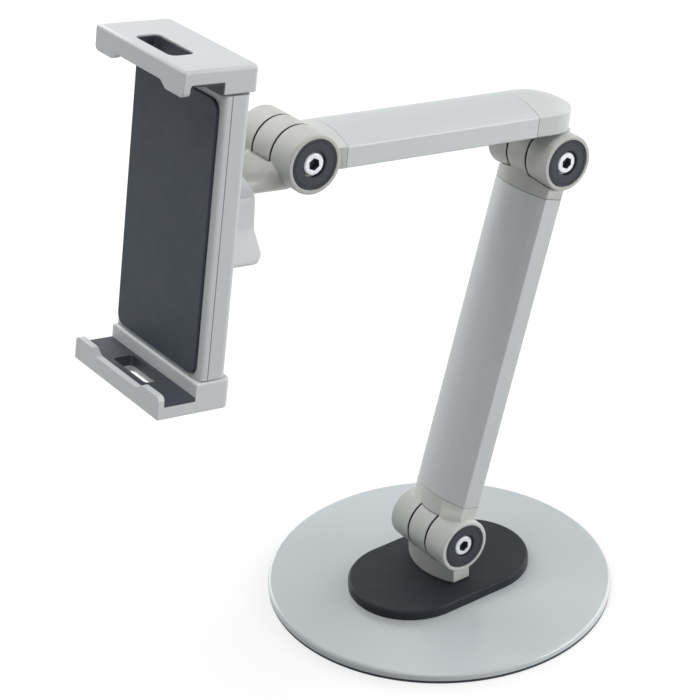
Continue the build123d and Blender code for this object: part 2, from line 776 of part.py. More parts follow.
def cut_lip(end):
    """Middle of the lip cut back between its two sloping teeth."""
    inner = TOOTH_INNER - TOOTH_SLOPE
    tip = end * (jaw_outer[end] - TOOTH_REACH)
    middle = end * (jaw_outer[end] - LIP_MIDDLE_REACH)
    notch = [(-TOOTH_INNER, tip), (-inner, middle), (inner, middle), (TOOTH_INNER, tip)]
    extrude(polygon(panel_frame.offset(lip_back), notch), amount=LIP_THICKNESS, mode=Mode.SUBTRACT)


def window(v, inset=0.0):
    """Outline of the window through a jaw's plate, drawn in by the inset."""
    with BuildSketch(level(v)) as outline:
        with Locations((0, (SLOT_FRONT + SLOT_BACK) / 2)):
            RectangleRounded(
                SLOT_LENGTH - 2 * inset, SLOT_FRONT - SLOT_BACK - 2 * inset, SLOT_CORNER - inset
            )
    return outline.sketch


def add_sleeve(end, thickness, length):
    """Soft sleeve down the jaw's window, with the opening cut through sleeve and lining."""
    inner = jaw_outer[end] - JAW_PLATE
    extrude(window(end * inner, GRIP_FIT), amount=-end * length)
    extrude(
        window(end * (inner - thickness), LINING),
        amount=-end * (JAW_PLATE + thickness),
        mode=Mode.SUBTRACT,
    )


def soften_jaw(jaw, end):
    """Rounds a jaw's upright back corners, its teeth, its outer rim and the window."""
    fillet(jaw.edges().filter_by(panel_up).sort_by(panel_out)[:2], JAW_BACK_ROUND)
    lip_edges = jaw.edges().filter_by(panel_out).filter_by_position(panel_out, lip_back, LIP_FRONT)
    across_lip = lip_edges.sort_by(Axis.X)
    fillet([across_lip[0], across_lip[-1]], TOOTH_ROUND)
    fillet(across_lip[1:-1], NOTCH_ROUND)
    outer = jaw.faces().sort_by(panel_up)[-1 if end > 0 else 0]
    fillet(outer.edges(), JAW_EDGE_ROUND)
    extrude(window(end * (jaw_outer[end] - JAW_PLATE)), amount=-end * JAW_PLATE, mode=Mode.SUBTRACT)


def neck_section(n, drop, shoulder_round):
    """Section of the bracket's neck: the lower part of a circle, flat on top, with rounded shoulders."""
    with BuildSketch(swivel_frame.offset(n)) as section:
        Circle(NECK_RADIUS)
        with Locations((0, NECK_RADIUS - drop)):
            Rectangle(2 * NECK_RADIUS, 2 * NECK_RADIUS, mode=Mode.SUBTRACT)
        fillet(section.vertices(), shoulder_round)
    return section.sketch


# Head bracket: outer knuckles, half-round neck with a hollow back, and the spindle the head turns on
with BuildPart() as head_bracket:
    extrude(neck_section(NECK_START, NECK_DROP, NECK_SHOULDER_ROUND), amount=NECK_BEND - NECK_START)
    loft(
        [
            neck_section(NECK_BEND, NECK_DROP, NECK_SHOULDER_ROUND),
            neck_section(NECK_WAIST, NECK_WAIST_DROP, NECK_WAIST_ROUND),
            neck_section(FLANGE_FACE, NECK_END_DROP, NECK_WAIST_ROUND),
        ]
    )
    add_knuckles(head_axis)
    fillet(rims(head_bracket, head_axis), BARREL_RIM_ROUND)
    extrude(disc(swivel_frame.offset(FLANGE_BACK), FLANGE_RADIUS), amount=FLANGE_FACE - FLANGE_BACK)
    extrude(
        disc(swivel_frame.offset(FLANGE_FACE), SPINDLE_RADIUS), amount=HEAD_REACH + spindle_end - FLANGE_FACE
    )
    cut_knuckles(head_axis)
    extrude(
        disc(facing(spindle_end), SPINDLE_SCREW_RADIUS + RUNNING_FIT),
        amount=-SPINDLE_SCREW_LENGTH - SPIGOT_FIT,
        mode=Mode.SUBTRACT,
    )
save(head_bracket, "head_bracket")

with BuildPart() as spindle_washer:
    extrude(disc(facing(spindle_end), SPINDLE_WASHER_RADIUS), amount=SPINDLE_WASHER_THICKNESS)
    extrude(
        disc(facing(spindle_end), SPINDLE_SCREW_RADIUS + RUNNING_FIT),
        amount=SPINDLE_WASHER_THICKNESS,
        mode=Mode.SUBTRACT,
    )
save(spindle_washer, "spindle_washer")

with BuildPart() as spindle_screw:
    extrude(disc(facing(washer_front), SPINDLE_SCREW_HEAD_RADIUS), amount=SPINDLE_SCREW_HEAD_HEIGHT)
    extrude(disc(facing(washer_front), SPINDLE_SCREW_RADIUS), amount=-SPINDLE_SCREW_LENGTH)
    extrude(
        hexagon(facing(washer_front + SPINDLE_SCREW_HEAD_HEIGHT), SPINDLE_SCREW_RADIUS * 1.6),
        amount=-SPINDLE_SCREW_HEAD_HEIGHT / 2,
        mode=Mode.SUBTRACT,
    )
save(spindle_screw, "spindle_screw")

# Lock lever: ring round the spindle, collar under the neck and a tail that flares towards its foot
lever_radius = NECK_RADIUS + LEVER_CLEARANCE + LEVER_COLLAR
tail_foot = SWIVEL_RISE - LEVER_REACH
crease = SWIVEL_RISE - LEVER_CREASE
with BuildPart() as lock_lever:
    tail_plan = [
        (-LEVER_HALF_WIDTH, SWIVEL_RISE),
        (-LEVER_HALF_WIDTH, crease),
        (-LEVER_FLARE_HALF_WIDTH, tail_foot),
        (LEVER_FLARE_HALF_WIDTH, tail_foot),
        (LEVER_HALF_WIDTH, crease),
        (LEVER_HALF_WIDTH, SWIVEL_RISE),
    ]
    with BuildSketch(panel_frame.offset(lever_front)) as lever_plan:
        add(polygon(Plane.XY, tail_plan))
        fillet(lever_plan.vertices().sort_by(Axis.Y)[:2], LEVER_CORNER_ROUND)
        with Locations((0, SWIVEL_RISE)):
            Circle(lever_radius)
    extrude(amount=-HEAD_REACH)
    lever_side = [
        (SWIVEL_RISE + lever_radius, lever_front),
        (SWIVEL_RISE + lever_radius, lever_back),
        (SWIVEL_RISE - NECK_DROP, lever_back),
        (SWIVEL_RISE - LEVER_COLLAR_DROP, -LEVER_BACK),
        (crease, -LEVER_CREASE_BACK),
        (tail_foot + LEVER_HEEL_RISE, -LEVER_HEEL_BACK),
        (tail_foot + LEVER_FOOT_RISE, -LEVER_FOOT_BACK),
        (tail_foot, -LEVER_FOOT_FRONT),
        (tail_foot + LEVER_FOOT_RISE, lever_front),
    ]
    extrude(polygon(panel_side, lever_side), amount=lever_radius, both=True, mode=Mode.INTERSECT)
    tail_edges = lock_lever.edges().filter_by(Axis.X).sort_by(panel_up)[:4].sort_by(panel_out)
    fillet(tail_edges[2:], LEVER_EDGE_ROUND)
    fillet(tail_edges[:2], LEVER_HEEL_ROUND)
    extrude(disc(facing(lever_back), NECK_RADIUS + LEVER_CLEARANCE), amount=-HEAD_REACH, mode=Mode.SUBTRACT)
    extrude(
        disc(facing(lever_back), SPINDLE_RADIUS + RUNNING_FIT),
        amount=lever_front - lever_back,
        mode=Mode.SUBTRACT,
    )
save(lock_lever, "lock_lever")

shell_screw_places = [
    (side * SHELL_SCREW_X, v)
    for side in (-1, 1)
    for v in (HOUSING_TOP - SHELL_SCREW_TOP_INSET, SHELL_SCREW_BOTTOM_INSET - housing_bottom)
]
shell_half = HOUSING_WIDTH / 2
cavity_half = shell_half - HOUSING_WALL
cavity_top = HOUSING_TOP - HOUSING_WALL
cavity_bottom = -housing_bottom + HOUSING_WALL
shell_head_back = back_face + SHELL_SCREW_SINK
shell_head_front = shell_head_back + SHELL_SCREW_HEAD_HEIGHT
shell_boss_front = back_floor + SHELL_BOSS_HEIGHT
tab_half = JAW_TAB_WIDTH / 2 + JAW_TAB_FIT
jaw_screw_v = jaw_tab_end - JAW_SCREW_INSET
jaw_screw_places = [(side * JAW_SCREW_SPACING / 2, jaw_screw_v) for side in (-1, 1)]
rod_places = [(side * ROD_SPACING / 2, -ROD_DEPTH) for side in (-1, 1)]

# Back half of the head: hub for the spindle, guides for the rods and seats for the screws
with BuildPart() as head_back_housing:
    panel_box(-shell_half, shell_half, -housing_bottom, HOUSING_TOP, back_face, seam_back)
    back_edges = head_back_housing.edges().filter_by(panel_up).sort_by(panel_out)
    fillet(back_edges[:2], HOUSING_BACK_ROUND)
    panel_box(
        -cavity_half, cavity_half, cavity_bottom, cavity_top, back_floor, seam_back, Mode.SUBTRACT
    )
    panel_box(
        -GUIDE_WIDTH / 2, GUIDE_WIDTH / 2, guide_bottom, cavity_top, back_floor, seam_back
    )
    panel_box(-tab_half, tab_half, cavity_bottom, jaw_tab_end, back_floor, jaw_tab_back)
    extrude(disc(facing(hub_face), HUB_RADIUS), amount=back_face - hub_face)
    extrude(
        disc(facing(hub_face), SPINDLE_RADIUS + RUNNING_FIT),
        amount=back_floor - hub_face,
        mode=Mode.SUBTRACT,
    )
    with BuildSketch(panel_frame.offset(back_floor)):
        with Locations(*shell_screw_places):
            Circle(SHELL_BOSS_RADIUS)
    extrude(amount=SHELL_BOSS_HEIGHT)
    with BuildSketch(panel_frame.offset(back_face)):
        with Locations(*shell_screw_places):
            Circle(SHELL_SCREW_HEAD_RADIUS + SPIGOT_FIT)
    extrude(amount=shell_head_front - back_face, mode=Mode.SUBTRACT)
    with BuildSketch(panel_frame.offset(back_face)):
        with Locations(*shell_screw_places):
            Circle(SHELL_SCREW_RADIUS + SPIGOT_FIT)
    extrude(amount=shell_boss_front - back_face, mode=Mode.SUBTRACT)
    with BuildSketch(level(HOUSING_TOP)):
        with Locations(*rod_places):
            Circle(ROD_RADIUS + RUNNING_FIT)
    extrude(amount=HOUSING_WALL + GUIDE_HEIGHT, mode=Mode.SUBTRACT)
    panel_box(
        -tab_half,
        tab_half,
        -housing_bottom,
        cavity_bottom,
        jaw_tab_back,
        jaw_tab_front + JAW_TAB_FIT,
        Mode.SUBTRACT,
    )
    with BuildSketch(panel_frame.offset(jaw_tab_back)):
        with Locations(*jaw_screw_places):
            Circle(JAW_SCREW_RADIUS + RUNNING_FIT)
    extrude(amount=JAW_TAB_THICKNESS - JAW_SCREW_LENGTH - SPIGOT_FIT, mode=Mode.SUBTRACT)
save(head_back_housing, "head_back_housing")

# Front half of the head: shallow tray with a recess for the pad and posts for the screws
with BuildPart() as head_front_housing:
    panel_box(-shell_half, shell_half, -housing_bottom, HOUSING_TOP, -HOUSING_SEAM, 0)
    front_edges = head_front_housing.edges().filter_by(panel_up).sort_by(panel_out)
    fillet(front_edges[-2:], HOUSING_FRONT_ROUND)
    panel_box(
        -cavity_half, cavity_half, cavity_bottom, cavity_top, -HOUSING_SEAM, -HOUSING_WALL, Mode.SUBTRACT
    )
    with BuildSketch(panel_frame.offset(-HOUSING_WALL)):
        with Locations(*shell_screw_places):
            Circle(SHELL_BOSS_RADIUS)
    extrude(amount=shell_boss_front + HOUSING_WALL)
    with BuildSketch(panel_frame.offset(shell_boss_front)):
        with Locations(*shell_screw_places):
            Circle(SHELL_SCREW_RADIUS + RUNNING_FIT)
    extrude(
        amount=shell_head_front + SHELL_SCREW_LENGTH + SPIGOT_FIT - shell_boss_front, mode=Mode.SUBTRACT
    )
    with BuildSketch(panel_frame):
        with Locations((0, (pad_top - pad_bottom) / 2)):
            RectangleRounded(PAD_WIDTH + 2 * PAD_FIT, pad_top + pad_bottom + 2 * PAD_FIT, PAD_CORNER)
    extrude(amount=-PAD_RECESS, mode=Mode.SUBTRACT)
save(head_front_housing, "head_front_housing")

with BuildPart() as head_shell_screws:
    with BuildSketch(panel_frame.offset(shell_head_back)):
        with Locations(*shell_screw_places):
            Circle(SHELL_SCREW_HEAD_RADIUS)
    extrude(amount=SHELL_SCREW_HEAD_HEIGHT)
    with BuildSketch(panel_frame.offset(shell_head_front)):
        with Locations(*shell_screw_places):
            Circle(SHELL_SCREW_RADIUS)
    extrude(amount=SHELL_SCREW_LENGTH)
    with BuildSketch(panel_frame.offset(shell_head_back)):
        with Locations(*shell_screw_places):
            Rectangle(SHELL_SCREW_HEAD_RADIUS * 2, SHELL_SCREW_SINK * 2)
            Rectangle(SHELL_SCREW_SINK * 2, SHELL_SCREW_HEAD_RADIUS * 2)
    extrude(amount=SHELL_SCREW_HEAD_HEIGHT / 2, mode=Mode.SUBTRACT)
save(head_shell_screws, "head_shell_screws")

# Soft pad in the panel's recess
with BuildPart() as front_pad:
    with BuildSketch(panel_frame.offset(-PAD_RECESS)):
        with Locations((0, (pad_top - pad_bottom) / 2)):
            RectangleRounded(PAD_WIDTH, pad_top + pad_bottom, PAD_CORNER)
    extrude(amount=PAD_THICKNESS)
    fillet(front_pad.faces().sort_by(panel_out)[-1].edges(), PAD_RECESS / 2)
save(front_pad, "front_pad")

# Lower jaw, fixed to the head by a tab and two screws inside it
with BuildPart() as lower_jaw:
    extrude(jaw_outline(-1, lower_block_edge, tablet_face), amount=JAW_WIDTH / 2, both=True)
    cut_lip(-1)
    soften_jaw(lower_jaw, -1)
    fillet(lower_jaw.faces().sort_by(panel_up)[-1].edges(), JAW_BLOCK_ROUND)
    panel_box(
        -JAW_TAB_WIDTH / 2,
        JAW_TAB_WIDTH / 2,
        -lower_block_edge - JAW_PLATE / 2,
        jaw_tab_end,
        jaw_tab_back,
        jaw_tab_front,
    )
    with BuildSketch(panel_frame.offset(jaw_tab_back)):
        with Locations(*jaw_screw_places):
            Circle(JAW_SCREW_RADIUS + SPIGOT_FIT)
    extrude(amount=JAW_TAB_THICKNESS, mode=Mode.SUBTRACT)
save(lower_jaw, "lower_jaw")

with BuildPart() as lower_jaw_screws:
    with BuildSketch(panel_frame.offset(jaw_tab_front)):
        with Locations(*jaw_screw_places):
            Circle(JAW_SCREW_HEAD_RADIUS)
    extrude(amount=JAW_SCREW_HEAD_HEIGHT)
    with BuildSketch(panel_frame.offset(jaw_tab_front)):
        with Locations(*jaw_screw_places):
            Circle(JAW_SCREW_RADIUS)
    extrude(amount=-JAW_SCREW_LENGTH)
    with BuildSketch(panel_frame.offset(jaw_tab_front + JAW_SCREW_HEAD_HEIGHT)):
        with Locations(*jaw_screw_places):
            RegularPolygon(JAW_SCREW_RADIUS, 6)
    extrude(amount=-JAW_SCREW_HEAD_HEIGHT / 2, mode=Mode.SUBTRACT)
save(lower_jaw_screws, "lower_jaw_screws")

# Soft grip on the lower jaw's plate, where the tablet stands, with a sleeve down the window
with BuildPart() as lower_jaw_grip:
    with BuildSketch(level(-lower_plate_inner)):
        with Locations((0, (tablet_face + lip_back) / 2)):
            Rectangle(JAW_WIDTH, lip_back - tablet_face - 2 * GRIP_FIT)
    extrude(amount=-GRIP_THICKNESS)
    add_sleeve(-1, GRIP_THICKNESS, LOWER_SLEEVE_LENGTH)
save(lower_jaw_grip, "lower_jaw_grip")

# Upper jaw, which slides on two rods
with BuildPart() as upper_jaw:
    extrude(jaw_outline(1, upper_block_edge, tablet_face - LINING), amount=JAW_WIDTH / 2, both=True)
    lip_root = panel_frame.from_local_coords(Vector(0, upper_plate_inner, lip_back))
    fillet(upper_jaw.edges().filter_by(Axis.X).sort_by_distance(lip_root)[0], JAW_INNER_ROUND)
    cut_lip(1)
    soften_jaw(upper_jaw, 1)
    with BuildSketch(level(upper_block_edge)):
        with Locations(*rod_places):
            Circle(ROD_RADIUS + RUNNING_FIT)
    extrude(amount=-ROD_IN_JAW - ROD_HOLE_SPARE, mode=Mode.SUBTRACT)
save(upper_jaw, "upper_jaw")

# Lining of the upper jaw: its plate, the wall behind the tablet and a sleeve up the window
with BuildPart() as upper_jaw_lining:
    lining_front = lip_back - JAW_INNER_ROUND - GRIP_FIT
    lining = [
        (upper_block_edge, tablet_face - LINING),
        (upper_plate_inner, tablet_face - LINING),
        (upper_plate_inner, lining_front),
        (upper_plate_inner - LINING, lining_front),
        (upper_plate_inner - LINING, tablet_face),
        (upper_block_edge, tablet_face),
    ]
    extrude(polygon(panel_side, lining), amount=JAW_WIDTH / 2, both=True)
    add_sleeve(1, LINING, UPPER_SLEEVE_LENGTH)
save(upper_jaw_lining, "upper_jaw_lining")

# Rods, their nuts and the springs that pull the upper jaw down
with BuildPart() as jaw_rods:
    with BuildSketch(level(rod_bottom)):
        with Locations(*rod_places):
            Circle(ROD_RADIUS)
    extrude(amount=-ROD_LENGTH)
save(jaw_rods, "jaw_rods")

with BuildPart() as jaw_rod_nuts:
    with BuildSketch(level(rod_bottom)):
        with Locations(*rod_places):
            Circle(ROD_NUT_RADIUS)
            Circle(ROD_RADIUS + RUNNING_FIT, mode=Mode.SUBTRACT)
    extrude(amount=-ROD_NUT_HEIGHT)
save(jaw_rod_nuts, "jaw_rod_nuts")

spring_bottom = rod_bottom + ROD_NUT_HEIGHT + SPRING_GAP
with BuildPart() as jaw_springs:
    with BuildSketch(level(spring_bottom)):
        with Locations(*rod_places):
            Circle(SPRING_OUTER)
            Circle(SPRING_INNER, mode=Mode.SUBTRACT)
    extrude(amount=spring_bottom + SPRING_GAP - guide_bottom)
save(jaw_springs, "jaw_springs")
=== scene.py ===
"""Looks of the folding tablet stand: satin arms, grey castings, dark pads, bright hinge screws.

Metres, in the frame of the solids: +X along the hinge screws, the tablet faces -Y, +Z up. Outlines
and places of the pieces are written in millimetres and brought to metres by MM.
"""

import json
import math

import bmesh
import bpy
import numpy as np
from mathutils import Matrix, Vector


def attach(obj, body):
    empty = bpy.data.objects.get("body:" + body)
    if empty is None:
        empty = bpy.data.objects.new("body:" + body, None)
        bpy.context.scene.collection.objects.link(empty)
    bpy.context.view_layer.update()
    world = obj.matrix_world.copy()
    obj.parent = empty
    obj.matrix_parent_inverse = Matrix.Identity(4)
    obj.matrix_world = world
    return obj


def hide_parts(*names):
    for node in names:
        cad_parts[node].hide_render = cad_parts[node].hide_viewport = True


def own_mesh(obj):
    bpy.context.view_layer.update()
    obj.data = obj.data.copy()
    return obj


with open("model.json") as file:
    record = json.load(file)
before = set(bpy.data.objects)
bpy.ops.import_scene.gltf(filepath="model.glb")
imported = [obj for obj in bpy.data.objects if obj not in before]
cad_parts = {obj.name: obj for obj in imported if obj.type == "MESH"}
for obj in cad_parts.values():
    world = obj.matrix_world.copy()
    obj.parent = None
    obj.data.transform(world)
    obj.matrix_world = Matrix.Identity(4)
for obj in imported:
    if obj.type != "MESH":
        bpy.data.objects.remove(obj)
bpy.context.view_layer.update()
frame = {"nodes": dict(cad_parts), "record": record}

MM = 0.001
UP = (0.0, 0.0, 1.0)
SIDEWAYS = (1.0, 0.0, 0.0)
BACKWARD = (0.0, 1.0, 0.0)

# Degrees at rest: the lower arm and the panel lean back, the upper arm rises towards the head
LOWER_ARM_LEAN, UPPER_ARM_RISE, PANEL_LEAN = 17.8, 7.9, 9.25

# A point on the axis of each hinge, half way along its screw
HINGE_AXES = {
    "base": (0.0, 0.0, 30.9),
    "elbow": (0.0, 59.8246, 217.2317),
    "head": (0.0, -79.9277, 255.6041),
}


# Finishes: patterns count their waves per metre, and relief is in metres

PATTERN_LOW, PATTERN_HIGH = 0.3, 0.7
RAMP_STOPS = (0.35, 0.65)
SHADE_WAVES, GLOSS_WAVES, STREAK_WAVES, MARK_WAVES = 22.0, 160.0, 1500.0, 900.0
STREAK_STRETCH = 0.02
EDGE_RADIUS = 0.0003
COAT_ROUGHNESS = 0.12

FINISHES = {}


def new_finish(name):
    """Adds an empty material to the finishes, and gives its nodes and its shader."""
    FINISHES[name] = finish = bpy.data.materials.new(name)
    finish.use_nodes = True
    tree = finish.node_tree
    return tree, tree.nodes["Principled BSDF"]


def object_coordinates(tree):
    """Coordinates in metres that stay with the piece."""
    return tree.nodes.new("ShaderNodeTexCoord").outputs["Object"]


def noise(tree, where, scale, detail=3.0, roughness=0.5):
    """Cloudy pattern of the given number of waves per metre."""
    cloud = tree.nodes.new("ShaderNodeTexNoise")
    cloud.inputs["Scale"].default_value = scale
    cloud.inputs["Detail"].default_value = detail
    cloud.inputs["Roughness"].default_value = roughness
    tree.links.new(where, cloud.inputs["Vector"])
    return cloud.outputs["Fac"]


def stretched(tree, where, turn, scale):
    """The same coordinates turned, and then stretched along their new axes."""
    turned_round = tree.nodes.new("ShaderNodeMapping")
    turned_round.inputs["Rotation"].default_value = turn
    drawn_out = tree.nodes.new("ShaderNodeMapping")
    drawn_out.inputs["Scale"].default_value = scale
    tree.links.new(where, turned_round.inputs["Vector"])
    tree.links.new(turned_round.outputs["Vector"], drawn_out.inputs["Vector"])
    return drawn_out.outputs["Vector"]


def spread(tree, value, low, high, start=PATTERN_LOW, end=PATTERN_HIGH):
    """Value carried over from start and end, a pattern's middle range, to low and high."""
    fit = tree.nodes.new("ShaderNodeMapRange")
    fit.inputs["From Min"].default_value = start
    fit.inputs["From Max"].default_value = end
    fit.inputs["To Min"].default_value = low
    fit.inputs["To Max"].default_value = high
    tree.links.new(value, fit.inputs["Value"])
    return fit.outputs["Result"]


def blend_colours(tree, value, *colours):
    """Colour between two, following a pattern."""
    ramp = tree.nodes.new("ShaderNodeValToRGB")
    for stop, position, colour in zip(ramp.color_ramp.elements, RAMP_STOPS, colours):
        stop.position = position
        stop.color = (*colour, 1.0)
    tree.links.new(value, ramp.inputs["Fac"])
    return ramp.outputs["Color"]


def bump(tree, height, distance, strength, edge_radius=EDGE_RADIUS):
    """Fine relief from a pattern, over edges that look softly rounded."""
    soft_edge = tree.nodes.new("ShaderNodeBevel")
    soft_edge.inputs["Radius"].default_value = edge_radius
    relief = tree.nodes.new("ShaderNodeBump")
    relief.inputs["Distance"].default_value = distance
    relief.inputs["Strength"].default_value = strength
    tree.links.new(height, relief.inputs["Height"])
    tree.links.new(soft_edge.outputs["Normal"], relief.inputs["Normal"])
    return relief.outputs["Normal"]


def dress(tree, shader, colour, shade, roughness, patterns, relief):
    """Colour down to its darker shade, roughness and relief, each following its own pattern."""
    clouds, gloss, grain = patterns
    dark = tuple(channel * shade for channel in colour)
    tree.links.new(blend_colours(tree, clouds, dark, colour), shader.inputs["Base Color"])
    tree.links.new(spread(tree, gloss, *roughness), shader.inputs["Roughness"])
    tree.links.new(bump(tree, grain, *relief), shader.inputs["Normal"])


def linear(red, green, blue):
    """Colour from its screen values of 0 to 255."""
    def channel(value):
        value = value / 255
        return value / 12.92 if value <= 0.04045 else ((value + 0.055) / 1.055) ** 2.4
    return tuple(channel(value) for value in (red, green, blue))


def grained(
    name, colour, shade, roughness, rough_spread, grain, depth, strength,
    coat=0.0, gloss_level=0.5, edge_radius=EDGE_RADIUS,
):
    """Moulded or painted surface: slow changes of shade, changing gloss and fine grain."""
    tree, shader = new_finish(name)
    where = object_coordinates(tree)
    dress(
        tree,
        shader,
        colour,
        shade,
        roughness=(roughness - rough_spread, roughness + rough_spread),
        patterns=(
            noise(tree, where, SHADE_WAVES),
            noise(tree, where, GLOSS_WAVES),
            noise(tree, where, grain, detail=2.0),
        ),
        relief=(depth, strength, edge_radius),
    )
    shader.inputs["Specular IOR Level"].default_value = gloss_level
    shader.inputs["Coat Weight"].default_value = coat
    shader.inputs["Coat Roughness"].default_value = COAT_ROUGHNESS


def drawn(name, colour, turn):
    """Satin drawn metal: fine streaks along a tube that leans by the given degrees."""
    tree, shader = new_finish(name)
    leaning = (math.radians(turn), 0.0, 0.0)
    along = stretched(tree, object_coordinates(tree), leaning, (1.0, 1.0, STREAK_STRETCH))
    streaks = noise(tree, along, STREAK_WAVES, roughness=0.6)
    dress(
        tree, shader, colour, shade=0.96, roughness=(0.36, 0.46), patterns=(streaks,) * 3,
        relief=(0.00001, 0.25),
    )
    shader.inputs["Metallic"].default_value = 0.15


def bright(name, colour, roughness, metal=1.0):
    """Plated steel with faint turning marks."""
    tree, shader = new_finish(name)
    marks = noise(tree, object_coordinates(tree), MARK_WAVES)
    dress(
        tree, shader, colour, shade=0.86, roughness=(roughness * 0.75, roughness * 1.3),
        patterns=(marks,) * 3, relief=(0.00001, 0.3),
    )
    shader.inputs["Metallic"].default_value = metal


MOULDED = {"roughness": 0.5, "rough_spread": 0.06, "grain": 2600.0}
CASTING = {
    "shade": 0.96, "roughness": 0.42, "rough_spread": 0.05,
    "grain": 2400.0, "depth": 0.00002, "strength": 0.25, "edge_radius": 0.0007,
}
HOUSING = {
    "shade": 0.97, "roughness": 0.4, "rough_spread": 0.05,
    "grain": 2400.0, "depth": 0.00002, "strength": 0.22, "edge_radius": 0.0006,
}
grained(
    "disc_paint", linear(199, 205, 208), shade=0.99, roughness=0.26, rough_spread=0.01,
    grain=1400.0, depth=0.00001, strength=0.1, coat=0.3,
)
grained(
    "plate_plastic", linear(42, 46, 51), shade=0.92,
    depth=0.00003, strength=0.35, gloss_level=0.15, **MOULDED,
)
grained(
    "cap_plastic", linear(58, 61, 68), shade=0.9,
    depth=0.00002, strength=0.3, gloss_level=0.25, **MOULDED,
)
grained(
    "grip_plastic", linear(58, 63, 72), shade=0.9,
    depth=0.00003, strength=0.35, gloss_level=0.3, **MOULDED,
)
grained(
    "dark_rubber", linear(58, 66, 75), shade=0.93, roughness=0.5, rough_spread=0.05,
    grain=3200.0, depth=0.00003, strength=0.3, gloss_level=0.22,
)
grained("cast_grey", linear(187, 188, 183), **CASTING)
grained("cast_neutral", linear(198, 200, 197), **CASTING)
grained("cast_pale", linear(199, 202, 201), **CASTING)
drawn("lower_arm_satin", linear(192, 196, 196), LOWER_ARM_LEAN)
drawn("upper_arm_satin", linear(196, 200, 201), UPPER_ARM_RISE - 90)
grained("head_grey", linear(201, 204, 205), **HOUSING)
# Lock lever: the head's grey plastic with painted light, made lighter as if lit from the right and
# from the floor
grained("lever_grey_painted_light", linear(214, 217, 218), **HOUSING)
# Lower jaw: the head's grey plastic with painted light, made lighter as if lit from below by the
# desk
grained("jaw_grey_painted_light", linear(207, 210, 211), **HOUSING)
bright("bright_steel", (0.72, 0.74, 0.76), roughness=0.2)
bright("bolt_steel", (0.84, 0.87, 0.91), roughness=0.34, metal=0.3)
# Painted shade for the recess of the hex sockets: a dark blue-grey on the same steel
grained(
    "socket_painted_shade", linear(72, 82, 98), shade=0.8, roughness=0.5, rough_spread=0.05,
    grain=900.0, depth=0.00002, strength=0.2,
)
grained(
    "black_nylon", linear(8, 8, 9), shade=0.8, roughness=0.7, rough_spread=0.05,
    grain=2600.0, depth=0.00002, strength=0.2, gloss_level=0.05,
)


# Surfaces: angles in degrees, distances between points that are joined in metres

CREASE, LEVER_CREASE, FLAT_ANGLE = 28, 11, 0.15
SKIN_JOIN, SURFACE_JOIN = 1e-6, 1e-7
SKIN_WEIGHT, SURFACE_WEIGHT = 90, 50

BODY_OF = {
    node: body for body, nodes in frame["record"]["behaviour"]["bodies"].items() for node in nodes
}


def paint(mesh, finish):
    """Gives a mesh one finish in place of all that it has."""
    mesh.materials.clear()
    mesh.materials.append(FINISHES[finish])


def settle(name, node, mesh, finish, crease, weight):
    """Piece that stands for a node, smooth but for the edges sharper than the crease.

    The weight says how far large faces rule the shading of small ones beside them.
    """
    mesh.shade_smooth()
    mesh.set_sharp_from_angle(angle=math.radians(crease))
    paint(mesh, finish)
    piece = bpy.data.objects.new(name, mesh)
    even = piece.modifiers.new("even_shading", "WEIGHTED_NORMAL")
    even.keep_sharp = True
    even.weight = weight
    bpy.context.scene.collection.objects.link(piece)
    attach(piece, BODY_OF[node])
    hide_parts(node)
    return piece


def skin(node, finish, crease=CREASE):
    """Copy of a solid's surface, on which each flat is one face."""
    mesh = frame["nodes"][node].data.copy()
    work = bmesh.new()
    work.from_mesh(mesh)
    bmesh.ops.remove_doubles(work, verts=work.verts, dist=SKIN_JOIN)
    flat = math.radians(FLAT_ANGLE)
    bmesh.ops.dissolve_limit(work, angle_limit=flat, verts=work.verts, edges=work.edges)
    work.to_mesh(mesh)
    work.free()
    return settle(f"{node}_skin", node, mesh, finish, crease, SKIN_WEIGHT)


SKINS = {
    "base_plate": "plate_plastic",
    "base_rubber_pad": "dark_rubber",
    "foot": "cast_neutral",
    "lower_arm_bottom_end": "cast_neutral",
    "lower_arm_top_end": "cast_grey",
    "head_bracket": "cast_grey",
    "lower_arm_tube": "lower_arm_satin",
    "upper_arm_tube": "upper_arm_satin",
    "head_back_housing": "head_grey",
    "head_front_housing": "head_grey",
    # The lower jaw's grey carries painted light from below
    "lower_jaw": "jaw_grey_painted_light",
    "upper_jaw": "head_grey",
    "front_pad": "dark_rubber",
    "lower_jaw_grip": "grip_plastic",
    "upper_jaw_lining": "grip_plastic",
    **{f"{hinge}_hinge_washers": "black_nylon" for hinge in HINGE_AXES},
}
for node, finish in SKINS.items():
    skin(node, finish)
# The lever's tail has a shallow bend that shows. Its grey carries painted light, made lighter as
# if lit from the right and from the floor
skin("lock_lever", "lever_grey_painted_light", LEVER_CREASE)


def surface(name, node, finish, points, faces):
    """Piece with the given points and faces, its seams joined and its normals outward."""
    mesh = bpy.data.meshes.new(name)
    mesh.from_pydata(points.tolist(), [], faces.tolist())
    work = bmesh.new()
    work.from_mesh(mesh)
    bmesh.ops.remove_doubles(work, verts=work.verts, dist=SURFACE_JOIN)
    bmesh.ops.holes_fill(work, edges=work.edges)
    bmesh.ops.recalc_face_normals(work, faces=work.faces)
    work.to_mesh(mesh)
    work.free()
    return settle(name, node, mesh, finish, CREASE, SURFACE_WEIGHT)


